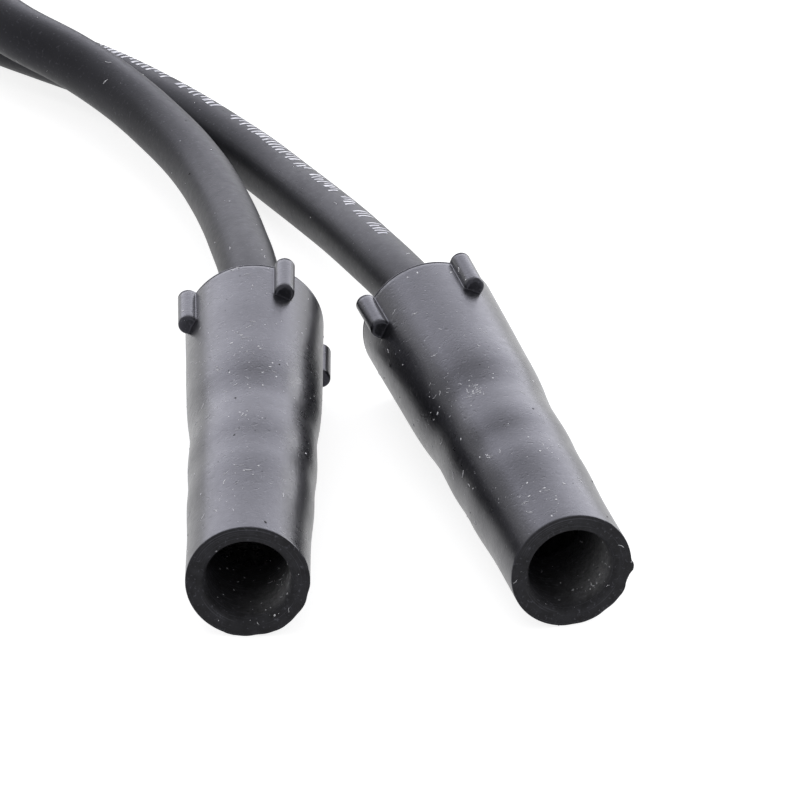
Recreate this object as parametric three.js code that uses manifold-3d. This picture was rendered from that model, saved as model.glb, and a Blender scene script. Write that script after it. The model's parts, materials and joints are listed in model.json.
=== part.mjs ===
// Spark plug lead: a 7 mm wire with a straight four-ribbed rubber boot on each end,
// a stamped push-on terminal inside each boot, and its spare length wound into a tied coil.
// Millimetres, +Z up. The lead lies on a bench at z = 0 and both boot mouths face -Y.

import * as THREE from 'three';
import { mergeVertices } from 'three/addons/utils/BufferGeometryUtils.js';
import Module from 'manifold-3d';

const wasm = await Module();
wasm.setup();

// Wire
const WIRE_DIAMETER = 7;
const CORE_DIAMETER = 1.6;
const FIT_GAP = 0.3;

// Boot, with its walls measured outwards from the bore
const BOOT_LENGTH = 60;
const MOUTH_WALL = 2.2;
const BULGE_WALL = 2.62;
const WAIST_WALL = 2.53;
const SHOULDER_WALL = 3.05;
const REAR_WALL = 3.4;
const MOUTH_CHAMFER = 0.7;
const TIP_LENGTH = 9;
const BORE_CLEARANCE = 0.4;

// Ribs around the rear of the boot
const RIB_COUNT = 4;
const RIB_WIDTH = 2.35;
const RIB_HEIGHT = 1.6;
const RIB_LENGTH = 6.7;
const RIB_EDGE = 0.3;
const FIRST_RIB_DEG = 65;

// Terminal, rolled from one sheet, measured along the boot from its rear face
const WIRE_INSERTION = 24;
const SHEET = 0.4;
const CRIMP_LENGTH = 11;
const CRIMP_LIP = 1;
const NECK_LENGTH = 5;
const SOCKET_LENGTH = 8;
const SOCKET_BORE = 6.6;
const SEAM_GAP = 0.8;
const WEB_DEPTH = 1.6;
const SPRING_WIRE = 0.5;
const SPRING_GAP = 0.2;
const SPRING_PLAY = 0.05;
const SPRING_LEG_DROP = 2.25;
const SPRING_BOW_DEG = 35;
const CORE_TAIL_LENGTH = 5;

// Where the two rear faces lie, and how far each boot is turned from the Y axis
const PLUG_END = { x: -10.08, y: 30.75, yawDeg: -7.2 };
const CAP_END = { x: 10.08, y: 28.59, yawDeg: 7.2 };

// Coil of spare wire and its tie
const COIL_CENTRE = { x: -14.7, y: 204.9 };
const COIL_RADIUS = 36.5;
const COIL_LAYERS = 2;
const TIE_ANGLE_DEG = 45;
const TIE_THICKNESS = 1.1;
const TIE_WIDTH = 3.6;
const TIE_HEAD = 5.2;
const TIE_HEAD_HEIGHT = 4;
const TIE_TAIL = 7;

// Routes of the wire's centre from each boot to the coil
const PLUG_END_ROUTE = [
  [-9.2, 38.7, 9.2],
  [-9.0, 48.0, 8.9],
  [-9.1, 55.5, 8.2],
  [-9.3, 63.4, 7.5],
  [-9.9, 71.5, 7.0],
  [-10.9, 79.1, 6.8],
  [-12.5, 86.5, 6.8],
  [-14.7, 93.8, 6.9],
  [-17.3, 100.5, 7.3],
  [-20.3, 106.5, 7.8],
  [-24.2, 112.6, 8.5],
  [-30.5, 120.7, 9.5],
  [-34.1, 127.7, 10.3],
  [-35.9, 135.2, 10.8],
  [-35.8, 143.1, 11.1],
  [-33.6, 150.6, 11.2],
  [-29.4, 157.4, 11.2],
  [-23.4, 162.9, 11.2],
];
const CAP_END_ROUTE = [
  [9.1, 36.5, 9.2],
  [7.7, 43.5, 8.7],
  [6.3, 50.5, 7.9],
  [4.2, 60.6, 6.7],
  [1.9, 70.6, 5.4],
  [-0.6, 80.2, 4.3],
  [-3.3, 88.5, 3.8],
  [-6.3, 95.5, 3.6],
  [-9.4, 101.8, 3.6],
  [-12.6, 107.6, 3.6],
  [-16.8, 114.4, 3.6],
  [-21.4, 120.7, 3.6],
  [-26.4, 126.4, 3.6],
  [-31.4, 132.3, 3.6],
  [-35.3, 139.1, 3.6],
  [-37.8, 146.4, 3.6],
  [-40.3, 156.4, 3.6],
  [-42.7, 166.3, 3.6],
  [-44.3, 172.7, 3.6],
];

// Facets
const BOOT_STEPS = 36;
const OUTLINE_POINTS = 24;
const TERMINAL_STEPS = 32;
const RIB_STEPS = 12;
const RIB_EDGE_POINTS = 3;
const SPRING_BOW_POINTS = 5;
const SPRING_SIDES = 8;
const SPRING_STEPS = 28;
const TAIL_POINTS = 4;
const TAIL_SIDES = 10;
const TAIL_STEPS = 10;
const COIL_STEPS = 44;
const TURN_POINTS = 5;
const TIE_CURVE_STEPS = 10;
const WIRE_SIDES = 12;
const WIRE_STEPS = 24;

// How far a cutting box runs past the piece that it cuts
const CUT_PAST = 1;

// Sizes that follow from those above
const radians = THREE.MathUtils.degToRad;
const wireRadius = WIRE_DIAMETER / 2;
const wirePassage = wireRadius + FIT_GAP;
const crimpRadius = wirePassage + SHEET;
const socketInside = SOCKET_BORE / 2;
const socketRadius = socketInside + SHEET;
const boreRadius = Math.max(crimpRadius + BORE_CLEARANCE, socketRadius + 2 * SPRING_GAP + SPRING_WIRE);
const mouthRadius = boreRadius + MOUTH_WALL;
const rearRadius = boreRadius + REAR_WALL;
const crimpFrom = WIRE_INSERTION + CRIMP_LIP - CRIMP_LENGTH;
const crimpTo = WIRE_INSERTION + CRIMP_LIP;
const socketFrom = crimpTo + NECK_LENGTH;
const socketTo = socketFrom + SOCKET_LENGTH;
const ribRound = RIB_WIDTH / 2;
const ribCentre = rearRadius + RIB_HEIGHT - ribRound;
const ribAngles = Array.from({ length: RIB_COUNT }, (_, i) => radians(FIRST_RIB_DEG + (i * 360) / RIB_COUNT));
const lowestRib = ribRound + ribCentre * Math.max(...ribAngles.map((angle) => -Math.sin(angle)));
const ribFoot = RIB_LENGTH - RIB_EDGE;
const ribRest = mouthRadius + (lowestRib - mouthRadius) / (1 - ribFoot / BOOT_LENGTH);
const rearHeight = Math.max(rearRadius, ribRest);
const bootTilt = Math.asin((rearHeight - mouthRadius) / BOOT_LENGTH);
const springLegX = socketInside - SPRING_WIRE - SPRING_PLAY;
const springAlong = (socketFrom + socketTo) / 2;
const coilLift = TIE_THICKNESS + FIT_GAP;
const coilTilt = Math.asin(coilLift / (2 * COIL_RADIUS));

const rubber = new THREE.MeshStandardMaterial({ color: 0x303034, roughness: 0.62, metalness: 0 });
const jacket = new THREE.MeshStandardMaterial({ color: 0x2c2c30, roughness: 0.5, metalness: 0 });
const steel = new THREE.MeshStandardMaterial({ color: 0xb9b6ae, roughness: 0.35, metalness: 1 });
const springSteel = new THREE.MeshStandardMaterial({ color: 0x9a9a98, roughness: 0.3, metalness: 1 });
const carbon = new THREE.MeshStandardMaterial({ color: 0x1c1c1d, roughness: 0.8, metalness: 0 });
const nylon = new THREE.MeshStandardMaterial({ color: 0x17171a, roughness: 0.45, metalness: 0 });

// Solids for joining and cutting

function solidFrom(geometry) {
  const bare = geometry.clone();
  bare.deleteAttribute('normal');
  bare.deleteAttribute('uv');
  const merged = mergeVertices(bare);
  const mesh = new wasm.Mesh({
    numProp: 3,
    vertProperties: new Float32Array(merged.attributes.position.array),
    triVerts: new Uint32Array(merged.index.array),
  });
  return new wasm.Manifold(mesh);
}

function geometryFrom(solid) {
  const { vertProperties, triVerts } = solid.getMesh();
  const geometry = new THREE.BufferGeometry();
  geometry.setAttribute('position', new THREE.BufferAttribute(vertProperties, 3));
  geometry.setIndex(new THREE.BufferAttribute(triVerts, 1));
  geometry.computeVertexNormals();
  return geometry;
}

function boxSolid(width, depth, height, x, y, z) {
  return solidFrom(new THREE.BoxGeometry(width, depth, height).translate(x, y, z));
}

function named(name, geometry, material) {
  const mesh = new THREE.Mesh(geometry, material);
  mesh.name = name;
  return mesh;
}

// A profile is [radius, distance from the rear face] pairs, and the boot runs towards -Y

function turned(profile, steps) {
  const points = profile.map(([radius, along]) => new THREE.Vector2(radius, -along)).reverse();
  return new THREE.LatheGeometry(points, steps);
}

function bootGeometry() {
  const crimpMiddle = (crimpFrom + crimpTo) / 2;
  const tipFrom = BOOT_LENGTH - TIP_LENGTH;
  const outside = new THREE.SplineCurve([
    new THREE.Vector2(rearRadius, 0),
    new THREE.Vector2(boreRadius + (2 * REAR_WALL + SHOULDER_WALL) / 3, crimpMiddle / 2),
    new THREE.Vector2(boreRadius + SHOULDER_WALL, crimpMiddle),
    new THREE.Vector2(boreRadius + (SHOULDER_WALL + WAIST_WALL) / 2, crimpTo),
    new THREE.Vector2(boreRadius + WAIST_WALL, socketFrom),
    new THREE.Vector2(boreRadius + BULGE_WALL, (socketFrom + socketTo) / 2),
    new THREE.Vector2(boreRadius + (BULGE_WALL + MOUTH_WALL) / 2, (socketTo + tipFrom) / 2),
    new THREE.Vector2(mouthRadius, tipFrom),
    new THREE.Vector2(mouthRadius, BOOT_LENGTH),
  ]);
  const section = [
    ...outside.getPoints(OUTLINE_POINTS).map((point) => [point.x, point.y]),
    [boreRadius + MOUTH_CHAMFER, BOOT_LENGTH],
    [boreRadius, BOOT_LENGTH - MOUTH_CHAMFER],
    [boreRadius, crimpFrom - FIT_GAP],
    [wirePassage, crimpFrom - FIT_GAP],
    [wirePassage, 0],
    [rearRadius, 0],
  ];
  let boot = solidFrom(turned(section, BOOT_STEPS));
  const edge = Array.from({ length: RIB_EDGE_POINTS }, (_, i) => {
    const turn = ((Math.PI / 2) * i) / (RIB_EDGE_POINTS - 1);
    return [ribRound - RIB_EDGE * (1 - Math.cos(turn)), ribFoot + RIB_EDGE * Math.sin(turn)];
  });
  const rib = turned([[0, 0], [ribRound, 0], ...edge, [0, RIB_LENGTH]], RIB_STEPS);
  for (const angle of ribAngles) {
    const placed = rib.clone().translate(ribCentre * Math.cos(angle), 0, ribCentre * Math.sin(angle));
    boot = boot.add(solidFrom(placed));
  }
  return geometryFrom(boot);
}

// The terminal is a crimp barrel round the wire, a curved web and a push-on socket,
// with its rolled seam open along the top and a slot for the spring on each side.

function terminalGeometry() {
  const shell = solidFrom(turned([
    [wirePassage, crimpFrom],
    [crimpRadius, crimpFrom],
    [crimpRadius, crimpTo],
    [socketRadius, socketFrom],
    [socketRadius, socketTo],
    [socketInside, socketTo],
    [socketInside, socketFrom],
    [wirePassage, crimpTo],
    [wirePassage, crimpFrom],
  ], TERMINAL_STEPS));
  const length = socketTo - crimpFrom;
  const middle = (crimpFrom + socketTo) / 2;
  const cutRadius = Math.max(crimpRadius, socketRadius) + CUT_PAST;
  const seam = boxSolid(SEAM_GAP, length + 2 * CUT_PAST, cutRadius, 0, -middle, cutRadius / 2);
  const window = boxSolid(
    cutRadius * 2,
    NECK_LENGTH,
    cutRadius + WEB_DEPTH,
    0,
    -(crimpTo + socketFrom) / 2,
    (cutRadius - WEB_DEPTH) / 2,
  );
  let terminal = shell.subtract(seam).subtract(window);
  const slotWidth = SPRING_WIRE + 2 * FIT_GAP;
  const slotFrom = springLegX - SPRING_WIRE / 2 - FIT_GAP;
  for (const side of [-1, 1]) {
    const slotMiddle = (side * (slotFrom + cutRadius)) / 2;
    const slot = boxSolid(cutRadius - slotFrom, slotWidth, cutRadius * 2, slotMiddle, -springAlong, 0);
    terminal = terminal.subtract(slot);
  }
  return geometryFrom(terminal);
}

function tube(points, radius, sides, steps) {
  const path = new THREE.CatmullRomCurve3(points.map((point) => new THREE.Vector3(...point)));
  const section = new THREE.Shape(
    Array.from({ length: sides }, (_, i) => {
      const turn = (i * 2 * Math.PI) / sides;
      return new THREE.Vector2(radius * Math.cos(turn), radius * Math.sin(turn));
    }),
  );
  return new THREE.ExtrudeGeometry(section, { steps, bevelEnabled: false, extrudePath: path });
}

// The spring is a wire bow over the socket, with one leg in each side slot

function springGeometry() {
  const bow = (socketRadius + boreRadius) / 2;
  const along = -springAlong;
  const arc = Array.from({ length: SPRING_BOW_POINTS }, (_, i) => {
    const turn = radians(SPRING_BOW_DEG + ((180 - 2 * SPRING_BOW_DEG) * i) / (SPRING_BOW_POINTS - 1));
    return [bow * Math.cos(turn), along, bow * Math.sin(turn)];
  });
  const points = [
    [springLegX, along, -SPRING_LEG_DROP],
    [springLegX, along, 0],
    ...arc,
    [-springLegX, along, 0],
    [-springLegX, along, -SPRING_LEG_DROP],
  ];
  return tube(points, SPRING_WIRE / 2, SPRING_SIDES, SPRING_STEPS);
}

// The conductor leaves the end of the wire and is bent down on to the web

function coreTailGeometry() {
  const start = WIRE_INSERTION + FIT_GAP;
  const drop = socketInside - CORE_DIAMETER / 2 - FIT_GAP;
  const points = Array.from({ length: TAIL_POINTS }, (_, i) => {
    const share = i / (TAIL_POINTS - 1);
    return [0, -(start + CORE_TAIL_LENGTH * share), -drop * THREE.MathUtils.smoothstep(share, 0, 1)];
  });
  return tube(points, CORE_DIAMETER / 2, TAIL_SIDES, TAIL_STEPS);
}

// One dressed end of the lead, with its rear face at the group's origin

function wireEnd(prefix, seat) {
  const boot = named(`${prefix}_boot`, bootGeometry(), rubber);
  const terminal = named(`${prefix}_terminal`, terminalGeometry(), steel);
  const spring = named(`${prefix}_spring_clip`, springGeometry(), springSteel);
  const tail = named(`${prefix}_core_tail`, coreTailGeometry(), carbon);
  const tilted = new THREE.Group();
  tilted.rotation.x = bootTilt;
  tilted.add(boot, terminal, spring, tail);
  const end = new THREE.Group();
  end.position.set(seat.x, seat.y, rearHeight);
  end.rotation.z = radians(seat.yawDeg);
  end.add(tilted);
  return end;
}

// The wire starts inside the boot, on the boot's own line, and then follows its route

function wireGeometry(seat, route) {
  const yaw = radians(seat.yawDeg);
  const inward = new THREE.Vector3(
    -Math.sin(yaw) * Math.cos(bootTilt),
    Math.cos(yaw) * Math.cos(bootTilt),
    Math.sin(bootTilt),
  );
  const rear = new THREE.Vector3(seat.x, seat.y, rearHeight);
  const inside = [WIRE_INSERTION, WIRE_INSERTION / 2, 0].map((depth) =>
    rear.clone().addScaledVector(inward, -depth).toArray(),
  );
  return tube([...inside, ...route], wireRadius, WIRE_SIDES, WIRE_STEPS);
}

// Rounded outline of a bundle of turns, standing on the line y = 0

function bundleOutline(shape, margin) {
  const half = wireRadius + margin;
  const low = wireRadius;
  const high = WIRE_DIAMETER * COIL_LAYERS - wireRadius;
  shape.moveTo(half, low);
  shape.lineTo(half, high);
  shape.absarc(0, high, half, 0, Math.PI, false);
  shape.lineTo(-half, low);
  shape.absarc(0, low, half, Math.PI, 2 * Math.PI, false);
  return shape;
}

function coilGeometry() {
  const outline = bundleOutline(new THREE.Shape(), 0).getPoints(TURN_POINTS);
  const points = outline.map((point) => new THREE.Vector2(COIL_RADIUS + point.x, point.y));
  points.push(points[0].clone());
  return new THREE.LatheGeometry(points, COIL_STEPS).rotateX(Math.PI / 2);
}

// The tie is a strap round the bundle with its locking head and cut tail on top

function tieGeometry() {
  const strap = bundleOutline(new THREE.Shape(), FIT_GAP + TIE_THICKNESS);
  strap.holes.push(bundleOutline(new THREE.Path(), FIT_GAP));
  const loop = new THREE.ExtrudeGeometry(strap, {
    depth: TIE_WIDTH,
    bevelEnabled: false,
    curveSegments: TIE_CURVE_STEPS,
  });
  loop.translate(0, 0, -TIE_WIDTH / 2);
  const top = WIRE_DIAMETER * COIL_LAYERS + FIT_GAP;
  const head = new THREE.BoxGeometry(TIE_HEAD, TIE_HEAD_HEIGHT, TIE_HEAD);
  head.translate(0, top + FIT_GAP + TIE_HEAD_HEIGHT / 2, 0);
  const tailLength = TIE_TAIL + TIE_HEAD / 2;
  const tail = new THREE.BoxGeometry(tailLength, TIE_THICKNESS, TIE_WIDTH);
  tail.translate(-tailLength / 2, top + TIE_HEAD_HEIGHT - TIE_THICKNESS, 0);
  const tie = solidFrom(loop).add(solidFrom(head)).add(solidFrom(tail));
  return geometryFrom(tie).rotateX(Math.PI / 2);
}

// The coil leans a little, with the strap under one side of it and the bench under the other

function tiedCoil() {
  const coil = named('wire_coil', coilGeometry(), jacket);
  const tie = named('cable_tie', tieGeometry(), nylon);
  tie.position.x = COIL_RADIUS;
  const leaning = new THREE.Group();
  leaning.rotation.y = -coilTilt;
  leaning.position.z = COIL_RADIUS * Math.sin(coilTilt);
  leaning.add(coil, tie);
  const bundle = new THREE.Group();
  bundle.position.set(COIL_CENTRE.x, COIL_CENTRE.y, 0);
  bundle.rotation.z = radians(TIE_ANGLE_DEG);
  bundle.add(leaning);
  return bundle;
}

const lead = new THREE.Group();
lead.add(
  wireEnd('plug_end', PLUG_END),
  wireEnd('cap_end', CAP_END),
  named('wire_plug_end', wireGeometry(PLUG_END, PLUG_END_ROUTE), jacket),
  named('wire_cap_end', wireGeometry(CAP_END, CAP_END_ROUTE), jacket),
  tiedCoil(),
);

export default lead;
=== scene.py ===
"""Spark plug lead: a 7 mm wire with a ribbed rubber boot on each end and its spare length in a tied coil.

Metres, +Z up. The lead lies on a bench at z = 0 and both boot mouths face -Y. Sizes that are
written in millimetres are named so, and are turned into metres where a mesh is made.
"""

import json
import logging
import math
from dataclasses import dataclass, field
from enum import Enum
from functools import cached_property
from typing import Iterable, Sequence

import bpy
import numpy as np
from mathutils import Matrix, Vector

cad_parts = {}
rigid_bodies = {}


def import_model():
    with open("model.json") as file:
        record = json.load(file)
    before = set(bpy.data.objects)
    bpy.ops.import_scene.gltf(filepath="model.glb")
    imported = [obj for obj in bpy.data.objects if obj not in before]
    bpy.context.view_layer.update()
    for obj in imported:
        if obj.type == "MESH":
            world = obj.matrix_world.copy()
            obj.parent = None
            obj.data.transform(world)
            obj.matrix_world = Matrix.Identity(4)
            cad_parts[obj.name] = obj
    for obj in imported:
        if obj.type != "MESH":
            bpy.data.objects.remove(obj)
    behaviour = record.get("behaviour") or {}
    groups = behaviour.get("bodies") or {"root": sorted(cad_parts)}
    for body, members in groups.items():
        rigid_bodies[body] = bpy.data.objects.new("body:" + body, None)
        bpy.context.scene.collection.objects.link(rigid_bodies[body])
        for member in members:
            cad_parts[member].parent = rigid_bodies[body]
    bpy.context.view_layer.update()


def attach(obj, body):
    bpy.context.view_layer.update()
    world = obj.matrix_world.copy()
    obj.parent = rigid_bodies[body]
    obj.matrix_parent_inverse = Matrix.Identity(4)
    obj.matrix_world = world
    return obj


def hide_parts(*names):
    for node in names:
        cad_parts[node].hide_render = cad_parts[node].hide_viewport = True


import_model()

MM = 0.001
BODY = "root"
SHARP_EDGE_DEG = 40
# Vertex attribute for the grey on the bore's right wall near the mouth: partly dust, partly painted light on
# that lit wall.
BORE_DUST_AND_LIGHT = "bore_dust"
log = logging.getLogger("spark_plug_lead")

Point = Sequence[float]
Profile = Sequence[tuple[float, float]]
Colour = tuple[float, float, float]
Piece = bpy.types.Object
Material = bpy.types.Material
Socket = bpy.types.NodeSocket
WHITE: Colour = (1.0, 1.0, 1.0)


class End(Enum):
    """The two dressed ends of the lead, named as their CAD nodes begin."""

    PLUG = "plug_end"
    CAP = "cap_end"


class Slot(Enum):
    """The record's material slots."""

    BOOT = "boot_rubber"
    TERMINAL = "terminal_steel"
    SPRING = "spring_steel"
    CORE = "wire_core"
    JACKET = "wire_jacket"
    TIE = "tie_nylon"


# Small mesh and curve helpers


def spline(points: np.ndarray, per_span: int) -> np.ndarray:
    """Samples a centripetal Catmull-Rom curve through points.

    Args:
        points: The points to pass through, one a row.
        per_span: How many samples each span gets.

    Returns:
        The samples, one a row, with the last point at the end.
    """
    ghosts = np.vstack([2 * points[0] - points[1], points, 2 * points[-1] - points[-2]])
    out = []
    for p0, p1, p2, p3 in zip(ghosts, ghosts[1:], ghosts[2:], ghosts[3:]):
        d0, d1, d2 = (math.sqrt(np.linalg.norm(b - a)) for a, b in ((p0, p1), (p1, p2), (p2, p3)))
        m1 = (p2 - p1) + d1 * ((p1 - p0) / d0 - (p2 - p0) / (d0 + d1))
        m2 = (p2 - p1) + d1 * ((p3 - p2) / d2 - (p3 - p1) / (d1 + d2))
        for i in range(per_span):
            t = i / per_span
            out.append(
                (2 * t**3 - 3 * t**2 + 1) * p1
                + (t**3 - 2 * t**2 + t) * m1
                + (3 * t**2 - 2 * t**3) * p2
                + (t**3 - t**2) * m2
            )
    out.append(points[-1])
    return np.array(out)


def distances(points: np.ndarray) -> np.ndarray:
    """Returns how far along a polyline each of its points lies."""
    return np.concatenate([[0], np.cumsum(np.linalg.norm(np.diff(points, axis=0), axis=1))])


def degrees_apart(turns: np.ndarray, middle: float) -> np.ndarray:
    """Returns how far turns lie from a middle one, from -180 to 180 degrees."""
    return (turns - middle + 180) % 360 - 180


def eased(share: float) -> float:
    """Returns a share from 0 to 1 with a soft start and end."""
    return share * share * (3 - 2 * share)


def evenly(points: np.ndarray, step: float) -> np.ndarray:
    """Returns points at about equal steps along a polyline."""
    lengths = distances(points)
    at = np.linspace(0, lengths[-1], max(2, round(lengths[-1] / step)) + 1)
    return np.column_stack([np.interp(at, lengths, points[:, k]) for k in range(points.shape[1])])


def carried_frames(path: np.ndarray, up: Point) -> tuple[np.ndarray, np.ndarray, np.ndarray]:
    """Carries a frame along a path without twist.

    Args:
        path: The path's points.
        up: A direction that the first side vector leans towards.

    Returns:
        Tangents, side vectors and the vectors square to both.
    """
    tangents = np.gradient(path, axis=0)
    tangents /= np.linalg.norm(tangents, axis=1)[:, None]
    side = np.array(up, float)
    sides = []
    for tangent in tangents:
        side = side - tangent * side.dot(tangent)
        side /= np.linalg.norm(side)
        sides.append(side)
    sides = np.array(sides)
    return tangents, sides, np.cross(tangents, sides)


def new_object(name: str, data: bpy.types.ID) -> Piece:
    """Links a new object that holds a mesh, a lamp or a camera."""
    made = bpy.data.objects.new(name, data)
    bpy.context.scene.collection.objects.link(made)
    return made


def mesh_from(name: str, points: np.ndarray, faces: Iterable[Sequence[int]]) -> Piece:
    """Makes a smooth-shaded mesh object.

    Args:
        name: The object's name.
        points: Vertices in metres.
        faces: Vertex indices of each face.

    Returns:
        The linked object.
    """
    mesh = bpy.data.meshes.new(name)
    mesh.from_pydata([tuple(p) for p in points], [], [tuple(f) for f in faces])
    mesh.update()
    mesh.polygons.foreach_set("use_smooth", [True] * len(mesh.polygons))
    return new_object(name, mesh)


def ring_faces(rings: int, sides: int, loop: bool = False) -> list[tuple[int, int, int, int]]:
    """Quads that join each ring of sides vertices to the next.

    Args:
        rings: How many rings there are.
        sides: How many vertices each ring has.
        loop: Whether the last ring joins the first.

    Returns:
        The quads, in order of ring and side.
    """
    quads = []
    for i in range(rings if loop else rings - 1):
        here, after = i * sides, (i + 1) % rings * sides
        for j in range(sides):
            k = (j + 1) % sides
            quads.append((here + j, here + k, after + k, after + j))
    return quads


def add_ring_uv(made: Piece, sides: int, along: Sequence[float]) -> None:
    """Gives rings of quads a UV map, with u as along gives it for each ring and v once round it."""
    layer = made.data.uv_layers.new(name="UVMap")
    values = np.zeros((len(made.data.loops), 2), np.float32)
    at = 0
    for polygon in made.data.polygons:
        ring, side = divmod(polygon.index, sides)
        if ring + 1 < len(along):
            corners = ((ring, side), (ring, side + 1), (ring + 1, side + 1), (ring + 1, side))
            for k, (r, s) in enumerate(corners):
                values[at + k] = (along[r], s / sides)
        at += polygon.loop_total
    layer.data.foreach_set("uv", values.ravel())


def tube(
    name: str, path: np.ndarray, radius: float, sides: int, up: Point = (0, 0, 1), end_share: float = 1.0
) -> Piece:
    """Makes a closed tube round a path.

    Args:
        name: The object's name.
        path: Ring centres in metres.
        radius: The tube's radius in metres.
        sides: Vertices in a ring.
        up: Where each ring's first vertex leans.
        end_share: How much of the radius the first and the last ring keep.

    Returns:
        The tube, with a UV map in metres along it.
    """
    _, first, second = carried_frames(path, up)
    turns = np.linspace(0, 2 * math.pi, sides, endpoint=False)
    round_it = np.cos(turns)[:, None, None] * first + np.sin(turns)[:, None, None] * second
    radii = np.full(len(path), radius)
    radii[[0, -1]] *= end_share
    points = (path + round_it * radii[None, :, None]).transpose(1, 0, 2).reshape(-1, 3)
    faces = ring_faces(len(path), sides)
    last = (len(path) - 1) * sides
    faces += [tuple(reversed(range(sides))), tuple(range(last, last + sides))]
    made = mesh_from(name, points, faces)
    add_ring_uv(made, sides, distances(path))
    return made


def joined(name: str, parts: Sequence[Piece]) -> Piece:
    """Joins mesh objects into the first one and names it."""
    with bpy.context.temp_override(active_object=parts[0], selected_editable_objects=list(parts)):
        bpy.ops.object.join()
    parts[0].name = name
    parts[0].data.name = name
    return parts[0]


def plain_mesh(made: Piece) -> Piece:
    """Turns an object's evaluated shape into its own plain mesh and removes its modifiers."""
    depsgraph = bpy.context.evaluated_depsgraph_get()
    mesh = bpy.data.meshes.new_from_object(made.evaluated_get(depsgraph), depsgraph=depsgraph)
    made.modifiers.clear()
    made.data = mesh
    mesh.name = made.name
    return made


def bevelled(made: Piece, width: float, segments: int) -> Piece:
    """Rounds an object's sharp edges and leaves it as a plain mesh.

    Args:
        made: The object to finish.
        width: Bevel width in metres.
        segments: Bevel segments.

    Returns:
        The same object.
    """
    bevel = made.modifiers.new("rounded_edges", "BEVEL")
    bevel.width = width
    bevel.segments = segments
    bevel.limit_method = "ANGLE"
    bevel.angle_limit = math.radians(SHARP_EDGE_DEG)
    return plain_mesh(made)


# Node trees


class Nodes:
    """A node tree under construction."""

    def __init__(self, group: bpy.types.NodeTree) -> None:
        """Takes up a tree.

        Args:
            group: The tree to add nodes to.
        """
        self.group = group

    def node(
        self, kind: str, sockets: dict[str | int, object] | None = None, **settings: object
    ) -> bpy.types.Node:
        """Adds a node.

        Args:
            kind: The node's type.
            sockets: Input names or indices, each with a value to set, a socket to link, or several in a list.
            settings: Properties of the node.

        Returns:
            The new node.
        """
        made = self.group.nodes.new(kind)
        for key, value in settings.items():
            setattr(made, key, value)
        for key, value in (sockets or {}).items():
            for item in value if isinstance(value, list) else [value]:
                if isinstance(item, Socket):
                    self.group.links.new(item, made.inputs[key])
                else:
                    made.inputs[key].default_value = item
        return made

    def maths(self, operation: str, first: object, second: object) -> Socket:
        """Returns two values put together by an operation, such as MULTIPLY."""
        return self.node("ShaderNodeMath", {0: first, 1: second}, operation=operation).outputs[0]

    def vector(self, x: object = 0.0, y: object = 0.0, z: object = 0.0) -> Socket:
        """Returns three values as one vector."""
        return self.node("ShaderNodeCombineXYZ", {0: x, 1: y, 2: z}).outputs[0]


class Tree(Nodes):
    """A geometry node tree under construction, with named inputs for its sizes."""

    def __init__(self, name: str, sizes: dict[str, float | int]) -> None:
        """Makes the tree's inputs and output.

        Args:
            name: The tree's name.
            sizes: Each input's name and default, an int for whole numbers.
        """
        super().__init__(bpy.data.node_groups.new(name, "GeometryNodeTree"))
        for in_out in ("INPUT", "OUTPUT"):
            self.group.interface.new_socket("Geometry", in_out=in_out, socket_type="NodeSocketGeometry")
        for key, default in sizes.items():
            kind = "NodeSocketInt" if isinstance(default, int) else "NodeSocketFloat"
            item = self.group.interface.new_socket(key, in_out="INPUT", socket_type=kind)
            item.default_value = default
        self.inputs = self.node("NodeGroupInput")

    def size(self, key: str) -> Socket:
        """Returns the socket of a named input, the Geometry among them."""
        return self.inputs.outputs[key]

    def random(self, low: object, high: object, seed: int, kind: str = "FLOAT") -> Socket:
        """Returns a random value for each element, from low to high."""
        made = self.node("FunctionNodeRandomValue", data_type=kind)
        wanted = {"Min": low, "Max": high, "Seed": seed, "Probability": low}
        for socket in (s for s in made.inputs if s.enabled):
            value = wanted.get(socket.name)
            if isinstance(value, Socket):
                self.group.links.new(value, socket)
            elif value is not None:
                socket.default_value = value
        return next(s for s in made.outputs if s.enabled)

    def finish(self, geometry: Socket, material: Material) -> None:
        """Realizes the instances, sets their material and links the output."""
        real = self.node("GeometryNodeRealizeInstances", {"Geometry": geometry})
        dressed = self.node("GeometryNodeSetMaterial", {"Geometry": real.outputs[0], "Material": material})
        self.node("NodeGroupOutput", {0: dressed.outputs[0]})

    def apply(self, made: Piece, **sizes: float | int) -> Piece:
        """Runs the tree on an object and leaves the result as its plain mesh.

        Args:
            made: The object that the tree starts from.
            sizes: Values for the named inputs that differ from their defaults.

        Returns:
            The same object.
        """
        modifier = made.modifiers.new(self.group.name, "NODES")
        modifier.node_group = self.group
        for item in self.group.interface.items_tree:
            if item.in_out == "INPUT" and item.name in sizes:
                modifier[item.identifier] = sizes[item.name]
        return plain_mesh(made)


# Finishes


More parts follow.
